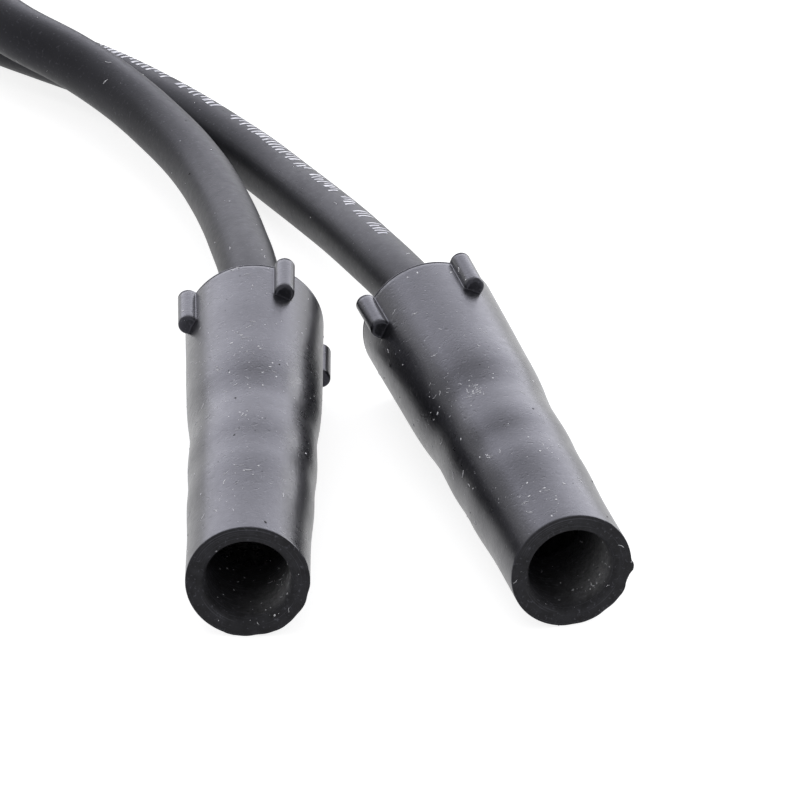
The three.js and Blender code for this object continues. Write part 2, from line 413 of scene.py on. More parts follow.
class Shader(Nodes):
    """A material under construction, with short calls for the nodes that the finishes share."""

    def __init__(self, name: str) -> None:
        """Makes an empty material.

        Args:
            name: The material's name.
        """
        self.material = bpy.data.materials.new(name)
        self.material.use_nodes = True
        self.material.node_tree.nodes.clear()
        super().__init__(self.material.node_tree)

    @cached_property
    def coordinates(self) -> bpy.types.Node:
        """The texture coordinates that the noises read."""
        return self.node("ShaderNodeTexCoord")

    def noise(
        self, scale: float, detail: float = 3.0, vector: Socket | None = None, distortion: float = 0.0
    ) -> Socket:
        """Returns a noise texture's value.

        Args:
            scale: Cells in a metre.
            detail: Octaves.
            vector: What it reads, or the object's own coordinates.
            distortion: How far the cells are warped.

        Returns:
            The Factor socket.
        """
        where = self.coordinates.outputs["Object"] if vector is None else vector
        sockets = {"Vector": where, "Scale": scale, "Detail": detail, "Distortion": distortion}
        return self.node("ShaderNodeTexNoise", sockets).outputs["Fac"]

    def stretched(self, scale: tuple[float, float, float], source: str) -> Socket:
        """Returns noise whose cells are stretched by a different scale along each axis."""
        mapping = self.node("ShaderNodeMapping", {"Vector": self.coordinates.outputs[source], "Scale": scale})
        return self.noise(1.0, 2.0, mapping.outputs[0])

    def ramp(self, value: Socket, low: float, high: float, start: float, end: float) -> Socket:
        """Maps value from low..high to start..end, clamped."""
        sockets = {"Value": value, "From Min": low, "From Max": high, "To Min": start, "To Max": end}
        return self.node("ShaderNodeMapRange", sockets).outputs["Result"]

    def mixed(self, factor: Socket, first: Socket | Colour, second: Socket | Colour) -> Socket:
        """Mixes two colours by factor."""
        first, second = (c if isinstance(c, Socket) else (*c, 1.0) for c in (first, second))
        return self.node("ShaderNodeMix", {0: factor, 6: first, 7: second}, data_type="RGBA").outputs[2]

    def bump(self, height: Socket, depth: float, under: Socket | None = None) -> Socket:
        """Returns a normal bumped by height.

        Args:
            height: A value from 0 to 1.
            depth: How far 1 stands out, in metres.
            under: A normal to bump further.

        Returns:
            The Normal socket.
        """
        lower = {} if under is None else {"Normal": under}
        return self.node("ShaderNodeBump", {"Distance": depth, "Height": height, **lower}).outputs["Normal"]

    def masked(self, name: str, cloud: Socket) -> Socket:
        """Returns a vertex attribute's value, broken up by a cloudy noise."""
        mask = self.node("ShaderNodeAttribute", attribute_name=name)
        return self.maths("MULTIPLY", mask.outputs["Fac"], self.ramp(cloud, 0.35, 0.65, 0.65, 1.0))

    def finish(self, surface: bpy.types.Node) -> Material:
        """Ends the tree in a surface and returns the material."""
        self.node("ShaderNodeOutputMaterial", {"Surface": surface.outputs[0]})
        return self.material

    def principled(self, sockets: dict[str, object]) -> Material:
        """Ends the tree in one Principled shader with these inputs and returns the material."""
        return self.finish(self.node("ShaderNodeBsdfPrincipled", sockets))


@dataclass(frozen=True)
class RubberFinish:
    """Satin black rubber with moulding grain, a thin film of dust, where cut or drawn, fine lines, and where
    a mask says, a grey that is partly loose dust and partly painted light.

    Attributes:
        name: The material's name.
        colour: The clean rubber.
        roughness: Its middle roughness.
        gloss: Its specular level.
        dust: How much of the dust colour the film reaches.
        grain: Depth of the grain, in metres.
        mottling: Cells of the film in a metre.
        freckles: How much of the dust colour a freckle has.
        satin: How far fine noise moves the roughness.
        lines: Scale of drawn lines along and round a ring UV, where it has any.
        line_dust: How much of the dust colour lies in those lines.
        sheen: Tint of the reflections.
        mask: The vertex attribute that says where loose dust and painted light lie, where there is any.
        dusty: Colour of the dust film.
        dust_and_painted_light: Colour of the loose dust, which also serves as painted light where a wall is
            lit.
    """

    name: str
    colour: Colour
    roughness: float
    gloss: float
    dust: float
    grain: float
    mottling: float = 140.0
    freckles: float = 0.5
    satin: float = 0.03
    lines: tuple[float, float] | None = None
    line_dust: float = 0.0
    sheen: Colour = (0.84, 0.84, 1.0)
    mask: str | None = None
    dusty: Colour = (0.11, 0.11, 0.13)
    dust_and_painted_light: Colour = (0.34, 0.34, 0.35)

    def material(self) -> Material:
        """Builds the material."""
        shader = Shader(self.name)
        film = shader.ramp(shader.noise(self.mottling, 4.0), 0.35, 0.75, 0.0, self.dust)
        freckles = shader.ramp(shader.noise(2600.0, 1.0), 0.62, 0.8, 0.0, self.freckles)
        colour = shader.mixed(freckles, shader.mixed(film, self.colour, self.dusty), self.dusty)
        wear = shader.ramp(shader.noise(70.0, 2.0), 0.3, 0.7, self.roughness - 0.02, self.roughness + 0.03)
        satin = shader.ramp(shader.noise(1100.0, 3.0), 0.3, 0.7, -self.satin, self.satin)
        pits = shader.ramp(shader.noise(1500.0, 2.0, distortion=0.6), 0.62, 0.74, 0.0, 1.0)
        normal = shader.bump(shader.noise(3400.0, 2.0), self.grain)
        normal = shader.bump(pits, self.grain * -0.8, normal)
        if self.lines:
            drawn = shader.stretched((*self.lines, 1.0), "UV")
            normal = shader.bump(drawn, self.grain * 0.8, normal)
            colour = shader.mixed(shader.ramp(drawn, 0.6, 0.68, 0.0, self.line_dust), colour, self.dusty)
        # Mixes in the masked grey: loose dust, and painted light where a wall is lit.
        if self.mask:
            colour = shader.mixed(shader.masked(self.mask, shader.noise(1800.0, 3.0)), colour, self.dust_and_painted_light)
        return shader.principled({
            "Base Color": colour,
            "Roughness": shader.maths("ADD", wear, satin),
            "Specular IOR Level": self.gloss,
            "Specular Tint": (*self.sheen, 1.0),
            "Normal": normal,
        })


@dataclass(frozen=True)
class MetalFinish:
    """Plated or drawn steel with fine rolling lines and a little tarnish."""

    name: str
    colour: Colour
    tarnish: Colour
    roughness: float
    lines: float

    def material(self) -> Material:
        """Builds the material."""
        shader = Shader(self.name)
        stain = shader.ramp(shader.noise(600.0, 5.0), 0.45, 0.75, 0.0, 0.8)
        rubbed = shader.noise(1800.0)
        drawn = shader.stretched((9000.0, 400.0, 9000.0), "Object")
        return shader.principled({
            "Base Color": shader.mixed(stain, self.colour, self.tarnish),
            "Metallic": 1.0,
            "Roughness": shader.ramp(rubbed, 0.3, 0.7, self.roughness - 0.06, self.roughness + 0.1),
            "Normal": shader.bump(drawn, self.lines),
        })


@dataclass(frozen=True)
class PlainFinish:
    """A small matt part: dust, print or nylon, with cloudy colour and a fine grain."""

    name: str
    colour: Colour
    other: Colour
    roughness: float
    scale: float
    grain: float

    def material(self) -> Material:
        """Builds the material."""
        shader = Shader(self.name)
        cloud = shader.ramp(shader.noise(self.scale), 0.35, 0.65, 0.0, 1.0)
        return shader.principled({
            "Base Color": shader.mixed(cloud, self.colour, self.other),
            "Roughness": shader.ramp(cloud, 0.0, 1.0, self.roughness, self.roughness + 0.1),
            "Normal": shader.bump(shader.noise(self.scale * 6), self.grain),
        })


@dataclass(frozen=True)
class Finishes:
    """Every finish of the lead, built once."""

    boot: Material
    cut_rubber: Material
    jacket: Material
    terminal: Material
    spring: Material
    core: Material
    nylon: Material
    dust: Material
    soot: Material
    ink: Material

    @classmethod
    def built(cls) -> "Finishes":
        """Builds the materials."""
        recipes = {
            "boot": RubberFinish(
                "boot_rubber", (0.0066, 0.0066, 0.0078), roughness=0.29, gloss=0.5, dust=0.02,
                grain=0.000015, freckles=0.35,
            ),
            "cut_rubber": RubberFinish(
                "cut_rubber", (0.007, 0.007, 0.008), roughness=0.68, gloss=0.26, dust=0.16, grain=0.00006,
                mottling=900.0, freckles=0.6, lines=(7000.0, 3.0), line_dust=0.4, sheen=(0.95, 0.95, 1.0),
                # The bore's right wall near the mouth gets a grey that is partly dust and partly painted
                # light on that lit wall.
                mask=BORE_DUST_AND_LIGHT,
            ),
            "jacket": RubberFinish(
                "wire_jacket", (0.0078, 0.0078, 0.0092), roughness=0.42, gloss=0.17, dust=0.07,
                grain=0.000009, freckles=0.28, lines=(60.0, 60.0),
            ),
            "terminal": MetalFinish(
                "terminal_steel", (0.62, 0.6, 0.56), (0.38, 0.34, 0.28), roughness=0.3, lines=0.000006
            ),
            "spring": MetalFinish(
                "spring_steel", (0.45, 0.45, 0.45), (0.3, 0.29, 0.27), roughness=0.25, lines=0.000004
            ),
            "core": PlainFinish(
                "wire_core", (0.015, 0.015, 0.016), (0.03, 0.03, 0.032), roughness=0.6, scale=4000.0,
                grain=0.00002,
            ),
            "nylon": PlainFinish(
                "tie_nylon", (0.014, 0.014, 0.016), (0.02, 0.02, 0.022), roughness=0.4, scale=900.0,
                grain=0.000008,
            ),
            "dust": PlainFinish(
                "dust", (0.5, 0.5, 0.54), (0.78, 0.78, 0.81), roughness=0.85, scale=3000.0, grain=0.00001
            ),
            "soot": PlainFinish(
                "soot", (0.006, 0.006, 0.006), (0.01, 0.01, 0.01), roughness=0.8, scale=3000.0, grain=0.00001
            ),
            "ink": PlainFinish(
                "print_ink", (0.7, 0.7, 0.75), (0.42, 0.42, 0.47), roughness=0.6, scale=1500.0, grain=0.000006
            ),
        }
        return cls(**{key: recipe.material() for key, recipe in recipes.items()})


def dress(made: Piece, *materials: Material) -> Piece:
    """Gives an object its materials."""
    made.data.materials.clear()
    for material in materials:
        made.data.materials.append(material)
    return made


# The boots


@dataclass(frozen=True)
class SkinRow:
    """One ring of a boot's outer skin, in millimetres."""

    from_mouth: float
    lift: float = 0.0
    inset: float = 0.0
    drawn_in: float = 0.0


@dataclass(frozen=True)
class DustPatch:
    """A place on a boot where more dust has gathered, in millimetres from the mouth and degrees."""

    from_mouth: float
    angle: float
    radius: float
    amount: float
    inside: bool = False


@dataclass
class Boot:
    """A straight rubber boot with four grip ribs at its rear, seen closed over the wire."""

    end: End
    rear_x_mm: float
    rear_y_mm: float
    yaw_deg: float
    bow_mm: float
    flaws: Profile
    patches: list[DustPatch]
    seed: int
    length_mm: float = 60.0
    bore_mm: float = 4.6
    rear_radius_mm: float = 8.0
    mouth_radius_mm: float = 6.8
    wire_hole_mm: float = 3.52
    hole_flare_mm: float = 0.3
    grip_mm: float = 13.7
    rib_width_mm: float = 2.35
    rib_height_mm: float = 1.6
    rib_length_mm: float = 6.7
    rib_edge_mm: float = 0.3
    first_rib_deg: float = 65.0
    rib_count: int = 4
    fillet_mm: float = 0.12
    end_fillet_mm: float = 0.03
    rear_edge_mm: float = 0.12
    rear_lip_mm: float = 0.07
    mouth_edge_mm: float = 0.1
    chamfer_mm: float = 0.72
    lip_depth_mm: float = 1.5
    skin_step_mm: float = 0.45
    between_ribs: int = 30
    lip_rows: int = 10
    bore_rows: int = 41
    cut_bore_rows: int = 10
    wave_mm: float = 0.006
    wave_turns: tuple[int, ...] = (1, 2, 3, 2)
    wave_fade_mm: tuple[float, float] = (6.0, 8.0)
    flaw_depth_mm: float = 0.9
    flash_deg: float = 5.5
    nick_deg: float = 6.5
    rear_rings: tuple[float, ...] = (0.2, 0.45, 0.72)
    # Where the bore's grey lies: partly dust, partly painted light on its lit right wall.
    dust_and_light_side_deg: float = -22.0
    dust_and_light_spread_deg: float = 48.0
    dust_and_light_depth_mm: float = 6.5
    stations_mm: Profile = (
        (0, 6.80), (9, 6.81), (12, 6.90), (15, 7.02), (16.8, 7.05), (19, 7.03), (21, 7.06),
        (23.5, 7.18), (25.5, 7.22), (28.5, 7.17), (31.5, 7.14), (34, 7.28), (37, 7.52),
        (40, 7.66), (45, 7.76), (52, 7.87), (60, 8.0),
    )

    @property
    def rib_round(self) -> float:
        """Radius of a rib's section."""
        return self.rib_width_mm / 2

    @property
    def rib_centre(self) -> float:
        """Distance of a rib's own axis from the boot's."""
        return self.rear_radius_mm + self.rib_height_mm - self.rib_round

    @property
    def rib_angles(self) -> list[float]:
        """Angle of each rib's middle round the axis."""
        return [math.radians(self.first_rib_deg + 360 / self.rib_count * i) for i in range(self.rib_count)]

    @property
    def rear_height_mm(self) -> float:
        """Height of the rear face's centre, with the mouth rim and the lowest rib on the bench."""
        lowest = self.rib_round + self.rib_centre * max(-math.sin(a) for a in self.rib_angles)
        foot = (self.rib_length_mm - self.rib_edge_mm) / self.length_mm
        return self.mouth_radius_mm + (lowest - self.mouth_radius_mm) / (1 - foot)

    @property
    def placing(self) -> Matrix:
        """The boot's own frame, with its axis along -Y from the rear face, in the bench's frame."""
        tilt = math.asin((self.rear_height_mm - self.mouth_radius_mm) / self.length_mm)
        seat = Matrix.Translation(Vector((self.rear_x_mm, self.rear_y_mm, self.rear_height_mm)) * MM)
        return seat @ Matrix.Rotation(math.radians(self.yaw_deg), 4, "Z") @ Matrix.Rotation(tilt, 4, "X")

    def inward(self, depth_mm: float) -> np.ndarray:
        """A point on the boot's axis, depth_mm in from its rear face, in metres."""
        return np.array(self.placing @ Vector((0, -depth_mm * MM, 0)))

    def radius_at(self, from_mouth: np.ndarray) -> np.ndarray:
        """Outer radius in millimetres at distances from the mouth."""
        dense = spline(np.array(self.stations_mm, float), 12)
        return np.interp(from_mouth, dense[:, 0], dense[:, 1])

    def rib_outline(self, inset: float) -> np.ndarray:
        """Section of a rib: a pin half sunk in the body, with a fillet along each foot.

        Args:
            inset: How far the pin's section is drawn in, in millimetres.

        Returns:
            Points about the rib's own direction, from its right foot over the crown to its left.
        """
        body, foot, pin = self.rear_radius_mm, self.fillet_mm, self.rib_round - inset
        reach = body + foot
        cosine = (reach**2 + self.rib_centre**2 - (pin + foot) ** 2) / (2 * reach * self.rib_centre)
        lean = math.acos(cosine)
        centre = np.array([reach * math.sin(lean), reach * cosine])
        to_pin = np.array([0, self.rib_centre]) - centre
        start = math.atan2(-cosine, -math.sin(lean))
        stop = math.atan2(to_pin[1], to_pin[0]) - 2 * math.pi
        sweep = np.linspace(start, stop, 6)
        right = centre + foot * np.column_stack([np.cos(sweep), np.sin(sweep)])
        low = math.atan2(-to_pin[1], -to_pin[0])
        top = np.linspace(low, math.pi - low, 19)[1:-1]
        crown = pin * np.column_stack([np.cos(top), np.sin(top)]) + (0, self.rib_centre)
        left = right[::-1] * (-1, 1)
        return np.vstack([right, crown, left])

    def columns(self, inset: float) -> tuple[np.ndarray, np.ndarray, np.ndarray]:
        """Lays out the columns of the skin.

        Args:
            inset: How far the ribs' sections are drawn in, in millimetres.

        Returns:
            The angle of each column on the plain body, the angle that it has on a rib, and how
            far it then stands out from the body, in millimetres.
        """
        widest = self.rib_outline(0.0)
        foot = math.atan2(widest[0, 0], widest[0, 1])
        outline = self.rib_outline(inset)
        offset = np.arctan2(outline[:, 0], outline[:, 1])
        rise = np.linalg.norm(outline, axis=1) - self.rear_radius_mm
        plain, ribbed, out = [], [], []
        for middle in self.rib_angles:
            plain.append(middle - np.linspace(foot, -foot, len(offset)))
            ribbed.append(middle - offset)
            out.append(rise)
            following = middle + 2 * math.pi / self.rib_count
            gap = np.linspace(middle + foot, following - foot, self.between_ribs + 1)[1:-1]
            plain.append(gap)
            ribbed.append(gap)
            out.append(np.zeros(len(gap)))
        return np.concatenate(plain), np.concatenate(ribbed), np.concatenate(out)

    def outer_rows(self) -> list[SkinRow]:
        """Rows of the outer skin from the mouth to the rear."""
        arc = [(1 - math.sin(a), 1 - math.cos(a)) for a in np.radians([0, 30, 60, 90])]
        mouth, rear, edge, foot = self.mouth_edge_mm, self.rear_edge_mm, self.rib_edge_mm, self.end_fillet_mm
        full = self.rib_height_mm
        front = self.length_mm - self.rib_length_mm
        lip_from = self.length_mm - 4 * rear
        rows = [SkinRow(mouth * s, drawn_in=mouth * c) for s, c in reversed(arc)]
        rows += [SkinRow(s) for s in np.arange(0.3, front - foot - 0.2, self.skin_step_mm)]
        rows += [SkinRow(front - foot * s, foot * c, edge) for s, c in arc]
        rows += [SkinRow(front, lift, edge) for lift in np.linspace(foot, full - edge, 6)[1:]]
        rows += [SkinRow(front + edge * c, full, edge * s) for s, c in arc[1:]]
        rows += [SkinRow(s, full) for s in np.linspace(front + edge, lip_from, 14)[1:]]
        for past, share in ((1.0, 0.4), (1.4, 1.0), (2.0, 0.4)):
            rows.append(SkinRow(lip_from + past * rear, full, drawn_in=share * self.rear_lip_mm))
        return rows + [SkinRow(self.length_mm - rear * s, full, drawn_in=rear * c) for s, c in arc]

    def inner_rows(self) -> Profile:
        """Radius and distance from the mouth down the wire hole, the bore and its rounded lip."""
        rear, hole, bore = self.length_mm, self.wire_hole_mm, self.bore_mm
        throat = rear - self.grip_mm
        rows = [(hole + self.hole_flare_mm, rear), (hole + 0.12, rear - 0.03), (hole + 0.02, rear - 0.15)]
        rows += [(hole, rear - 0.5), *((hole, s) for s in np.linspace(rear - 1.5, throat + 0.2, 8))]
        rows += [(hole + 0.08, throat), (bore - 0.1, throat - 0.02), (bore, throat - 0.15)]
        rows += [(bore, s) for s in np.linspace(throat - 1, self.lip_depth_mm + 0.4, self.bore_rows)]
        wide, deep = self.chamfer_mm, self.lip_depth_mm
        lip = np.radians(np.linspace(0, 90, self.lip_rows))
        return rows + [(bore + wide * (1 - math.cos(a)), deep * (1 - math.sin(a))) for a in lip]

    def waves(self, from_mouth: float, angles: np.ndarray) -> np.ndarray:
        """Slow unevenness of the moulding in millimetres, flat at the rear face."""
        rng = np.random.default_rng(self.seed)
        out = np.zeros(len(angles))
        for turns in self.wave_turns:
            pitch, shift, phase = rng.uniform(9, 22), rng.uniform(0, 6), rng.uniform(0, 6)
            along = np.sin(2 * math.pi * from_mouth / pitch + shift)
            out += self.wave_mm * along * np.cos(turns * angles + phase)
        front, rear = self.wave_fade_mm
        return out * min(1.0, from_mouth / front) * min(1.0, (self.length_mm - from_mouth) / rear)

    def mouth_flaws(self, from_mouth: float, angles: np.ndarray) -> np.ndarray:
        """Nicks and flash round the mouth's rim in millimetres."""
        out = np.zeros(len(angles))
        for at_deg, height in self.flaws:
            apart = degrees_apart(np.degrees(angles), at_deg)
            flash, nick = (apart / self.flash_deg) ** 4, (apart / self.nick_deg) ** 2
            out += height * np.exp(-(flash if height > 0 else nick))
        return out * math.exp(-((from_mouth / self.flaw_depth_mm) ** 2))

    def polar(self, points: np.ndarray) -> tuple[np.ndarray, np.ndarray, np.ndarray]:
        """Tells where points in the boot's own frame lie, in millimetres.

        Args:
            points: The points, one a row.

        Returns:
            Their distance from the axis, their turn round it in degrees and their distance from the mouth.
        """
        across, along, up = points.T
        return np.hypot(across, up), np.degrees(np.arctan2(up, across)), along + self.length_mm

    def bore_dust(self, points: np.ndarray) -> np.ndarray:
        """How grey each point of the bore is: most on its right wall, near the mouth, partly dust and partly
        painted light where that wall is lit.
        """
        reach, turn, depth = self.polar(points)
        lying = np.exp(-((depth / self.dust_and_light_depth_mm) ** 2)) - np.exp(-((depth / self.lip_depth_mm) ** 2))
        apart = degrees_apart(turn, self.dust_and_light_side_deg) / self.dust_and_light_spread_deg
        in_bore = reach < self.bore_mm + self.chamfer_mm
        return in_bore * np.clip(lying, 0, 1) * np.exp(-(apart**2))

    def build(self, finishes: Finishes) -> Piece:
        """Builds and dresses the boot.

        Args:
            finishes: The lead's finishes.

        Returns:
            The boot in place.
        """
        rings = []
        for row in self.outer_rows():
            plain, ribbed, out = self.columns(row.inset)
            share = np.minimum(1.0, row.lift / np.maximum(out, 1e-6))
            angles = plain + (ribbed - plain) * share
            s = row.from_mouth
            radius = self.radius_at(np.array([s]))[0] + np.minimum(out, row.lift) - row.drawn_in
            radius = radius + self.waves(s, angles) + self.mouth_flaws(s, angles)
            rings.append(self.ring(radius, angles, s))
        rim = rings[-1]
        centre = self.ring(np.full(len(plain), self.wire_hole_mm + self.hole_flare_mm), plain, self.length_mm)
        rings += [rim + (centre - rim) * share for share in self.rear_rings]
        for radius, s in self.inner_rows():
            rings.append(self.ring(np.full(len(plain), radius), plain, s))
        points = np.vstack(rings) * MM
        faces = ring_faces(len(rings), len(plain), loop=True)
        made = mesh_from(f"{self.end.value}_boot_rubber", points, faces)
        add_ring_uv(made, len(plain), distances(np.array([r[0] for r in (*rings, rings[0])])) * MM)
        made.data.flip_normals()
        # Marks the bore's grey: partly dust, partly painted light on its lit right wall.
        mask = made.data.attributes.new(BORE_DUST_AND_LIGHT, "FLOAT", "POINT")
        mask.data.foreach_set("value", self.bore_dust(points / MM))
        made.data.transform(self.placing)
        dress(made, finishes.boot, finishes.cut_rubber)
        row_of_face = np.arange(len(made.data.polygons)) // len(plain)
        cut = (row_of_face >= len(rings) - self.lip_rows - self.cut_bore_rows) | (row_of_face == 0)
        made.data.polygons.foreach_set("material_index", cut.astype(int))
        made.data.update()
        return made

    def ring(self, radius: np.ndarray, angles: np.ndarray, from_mouth: float) -> np.ndarray:
        """Places one row of points in the boot's own frame, in millimetres."""
        bend = self.bow_mm * math.sin(math.pi * min(1.0, from_mouth / (self.length_mm + 8))) ** 2
        along = np.full(len(angles), from_mouth - self.length_mm)
        return np.column_stack([radius * np.cos(angles) + bend, along, radius * np.sin(angles)])


# What each boot holds


@dataclass
class Terminal:
    """The rolled terminal, its spring clip and the end of the conductor, inside one boot."""

    boot: Boot
    insertion_mm: float = 24.0
    sheet_mm: float = 0.4
    crimp_from_mm: float = 14.0
    crimp_to_mm: float = 25.0
    socket_from_mm: float = 30.0
    socket_to_mm: float = 38.0
    crimp_inside_mm: float = 3.8
    socket_inside_mm: float = 3.3
    seam_mm: float = 0.8
    web_depth_mm: float = 1.6
    spring_wire_mm: float = 0.5
    spring_leg_mm: float = 2.75
    spring_drop_mm: float = 2.25
    core_radius_mm: float = 0.8
    tail_mm: float = 5.0
    fit_mm: float = 0.3
    burr_mm: float = 0.07
    spring_sides: int = 16
    strands: int = 6
    strand_turns: float = 1.4
    strand_sides: int = 10
    steps: int = 72

    def shell(self, finishes: Finishes) -> Piece:
        """Builds the crimp barrel, web and socket from one sheet with an open seam."""
        middle = self.sheet_mm / 2
        crimp, socket = self.crimp_inside_mm + middle, self.socket_inside_mm + middle
        rows = [(crimp, s) for s in np.linspace(self.crimp_from_mm, self.crimp_to_mm, 12)]
        blend = np.linspace(0, 1, 7)[1:-1]
        neck = self.socket_from_mm - self.crimp_to_mm
        rows += [(crimp + (socket - crimp) * eased(t), self.crimp_to_mm + neck * t) for t in blend]
        rows += [(socket, s) for s in np.linspace(self.socket_from_mm, self.socket_to_mm, 10)]
        points, faces = [], []
        for radius, s in rows:
            in_neck = self.crimp_to_mm < s < self.socket_from_mm
            half_gap = math.acos(-self.web_depth_mm / radius) if in_neck else self.seam_mm / 2 / radius
            turns = math.pi / 2 + np.linspace(half_gap, 2 * math.pi - half_gap, self.steps + 1)
            points += [(radius * math.cos(a), -s, radius * math.sin(a)) for a in turns]
        wide = self.steps + 1
        for here in range(0, (len(rows) - 1) * wide, wide):
            faces += [(i, i + 1, i + 1 + wide, i + wide) for i in range(here, here + self.steps)]
        made = mesh_from(f"{self.boot.end.value}_terminal_sheet", np.array(points) * MM, faces)
        wall = made.modifiers.new("sheet", "SOLIDIFY")
        wall.thickness = self.sheet_mm * MM
        wall.offset = 0
        plain_mesh(made)
        bevelled(made, self.burr_mm * MM, 2)
        made.data.transform(self.boot.placing)
        return dress(made, finishes.terminal)

    def clip(self, finishes: Finishes) -> Piece:
        """Builds the spring bow over the socket with a leg in each side slot."""
        bow = (self.socket_inside_mm + self.sheet_mm + self.boot.bore_mm) / 2
        along = -(self.socket_from_mm + self.socket_to_mm) / 2
        leg, drop = self.spring_leg_mm, self.spring_drop_mm
        arc = np.radians(np.linspace(35, 145, 5))
        path = [(leg, along, -drop), (leg, along, 0)]
        path += [(bow * math.cos(a), along, bow * math.sin(a)) for a in arc]
        path += [(-leg, along, 0), (-leg, along, -drop)]
        line = evenly(spline(np.array(path) * MM, 16), 0.2 * MM)
        name, radius = f"{self.boot.end.value}_spring_wire", self.spring_wire_mm / 2 * MM
        made = tube(name, line, radius, self.spring_sides, up=(0, 1, 0), end_share=0.75)
        made.data.transform(self.boot.placing)
        return dress(made, finishes.spring)

    def conductor(self, finishes: Finishes) -> Piece:
        """Builds the twisted strands that leave the wire and lie down on the web."""
        start = self.insertion_mm + self.fit_mm
        drop = self.socket_inside_mm - self.core_radius_mm - self.fit_mm
        shares = np.linspace(0, 1, 4)
        path = [(0, -(start + self.tail_mm * t), -drop * eased(t)) for t in shares]
        line = evenly(spline(np.array(path), 12), 0.15)
        _, first, second = carried_frames(line, (0, 0, 1))
        strand = self.core_radius_mm / 3
        parts = []
        for k in range(self.strands + 1):
            lay = 2 * math.pi * (np.linspace(0, self.strand_turns, len(line)) + k / self.strands)
            reach = 0 if k == self.strands else self.core_radius_mm - strand
            around = reach * (np.cos(lay)[:, None] * first + np.sin(lay)[:, None] * second)
            along = (line + around) * MM
            parts.append(tube(f"strand_{k}", along, strand * MM, self.strand_sides, end_share=0.7))
        made = joined(f"{self.boot.end.value}_core_strands", parts)
        made.data.transform(self.boot.placing)
        return dress(made, finishes.core)


# The wire


@dataclass
class Wire:
    """The wire itself, from inside one boot, round the coil and into the other."""

    plug: Boot
    cap: Boot
    diameter_mm: float = 7.0
    insertion_mm: float = 24.0
    coil_centre_mm: tuple[float, float] = (-14.7, 204.9)
    coil_radius_mm: float = 36.5
    coil_lift_mm: float = 1.4
    tie_angle_deg: float = 45.0
    coil_from_deg: float = 193.8
    coil_to_deg: float = -442.2
    climb_from_deg: float = -84.0
    climb_to_deg: float = -152.0
    turn_points: int = 24
    ring_step_mm: float = 1.0
    sides: int = 36
    plug_route_mm: Sequence[Point] = (
        (-9.2, 38.7, 9.2), (-9.0, 48.0, 8.9), (-9.1, 55.5, 8.2), (-9.3, 63.4, 7.5), (-9.9, 71.5, 7.0),
        (-10.9, 79.1, 6.8), (-12.5, 86.5, 6.8), (-14.7, 93.8, 6.9), (-17.3, 100.5, 7.3),
        (-20.3, 106.5, 7.8), (-24.2, 112.6, 8.5), (-30.5, 120.7, 9.5), (-34.1, 127.7, 10.3),
        (-35.9, 135.2, 10.8), (-35.8, 143.1, 11.1), (-33.6, 150.6, 11.2), (-29.4, 157.4, 11.2),
        (-23.4, 162.9, 11.2), (-16.4, 166.7, 11.2),
    )
    cap_route_mm: Sequence[Point] = (
        (9.1, 36.5, 9.2), (7.7, 43.5, 8.7), (6.3, 50.5, 7.9), (4.2, 60.6, 6.7), (1.9, 70.6, 5.4),
        (-0.6, 80.2, 4.3), (-3.3, 88.5, 3.8), (-6.3, 95.5, 3.6), (-9.4, 101.8, 3.6),
        (-12.6, 107.6, 3.6), (-16.8, 114.4, 3.6), (-21.4, 120.7, 3.6), (-26.4, 126.4, 3.6),
        (-31.4, 132.3, 3.6), (-35.3, 139.1, 3.6), (-37.8, 146.4, 3.6), (-40.3, 156.4, 3.6),
        (-42.7, 166.3, 3.6), (-44.3, 172.7, 3.6), (-47.2, 184.3, 3.6),
    )
    path: np.ndarray = field(init=False)

    def __post_init__(self) -> None:
        """Lays the wire's centreline, in metres, from the plug end to the cap end."""
        depths = (self.insertion_mm, self.insertion_mm / 2, 0.0)
        plug = [self.plug.inward(d) for d in depths]
        cap = [self.cap.inward(d) for d in depths]
        routes = [np.array(r) * MM for r in (self.plug_route_mm, self.cap_route_mm)]
        points = np.vstack([plug, routes[0], self.coil()[::-1] * MM, routes[1][::-1], cap[::-1]])
        self.path = evenly(spline(points, 16), self.ring_step_mm * MM)

    @property
    def length(self) -> float:
        """The centreline's length in metres."""
        return float(distances(self.path)[-1])

    def coil(self) -> np.ndarray:
        """Points of the coil in millimetres, from where the cap end's route joins it."""
        count = int(abs(self.coil_to_deg - self.coil_from_deg) / 360 * self.turn_points)
        radius = self.diameter_mm / 2
        points = []
        for degrees in np.linspace(self.coil_from_deg, self.coil_to_deg, count + 1):
            turn = math.radians(degrees)
            share = (degrees - self.climb_from_deg) / (self.climb_to_deg - self.climb_from_deg)
            share = min(1.0, max(0.0, share))
            climb = 2 * share * share if share < 0.5 else 1 - 2 * (1 - share) ** 2
            lean = self.coil_lift_mm / 2 * (1 + math.cos(turn - math.radians(self.tie_angle_deg)))
            points.append((
                self.coil_centre_mm[0] + self.coil_radius_mm * math.cos(turn),
                self.coil_centre_mm[1] + self.coil_radius_mm * math.sin(turn),
                radius + 0.05 + lean + self.diameter_mm * 1.01 * climb,
            ))
        return np.array(points)

    def build(self, finishes: Finishes) -> Piece:
        """Builds and dresses the wire."""
        return dress(tube("wire", self.path, self.diameter_mm / 2 * MM, self.sides), finishes.jacket)


@dataclass(frozen=True)
class Stroke:
    """One printed stroke: its low and high end as shares of the height, its lean and its width in strokes."""

    low: float
    high: float
    lean: float
    thick: float


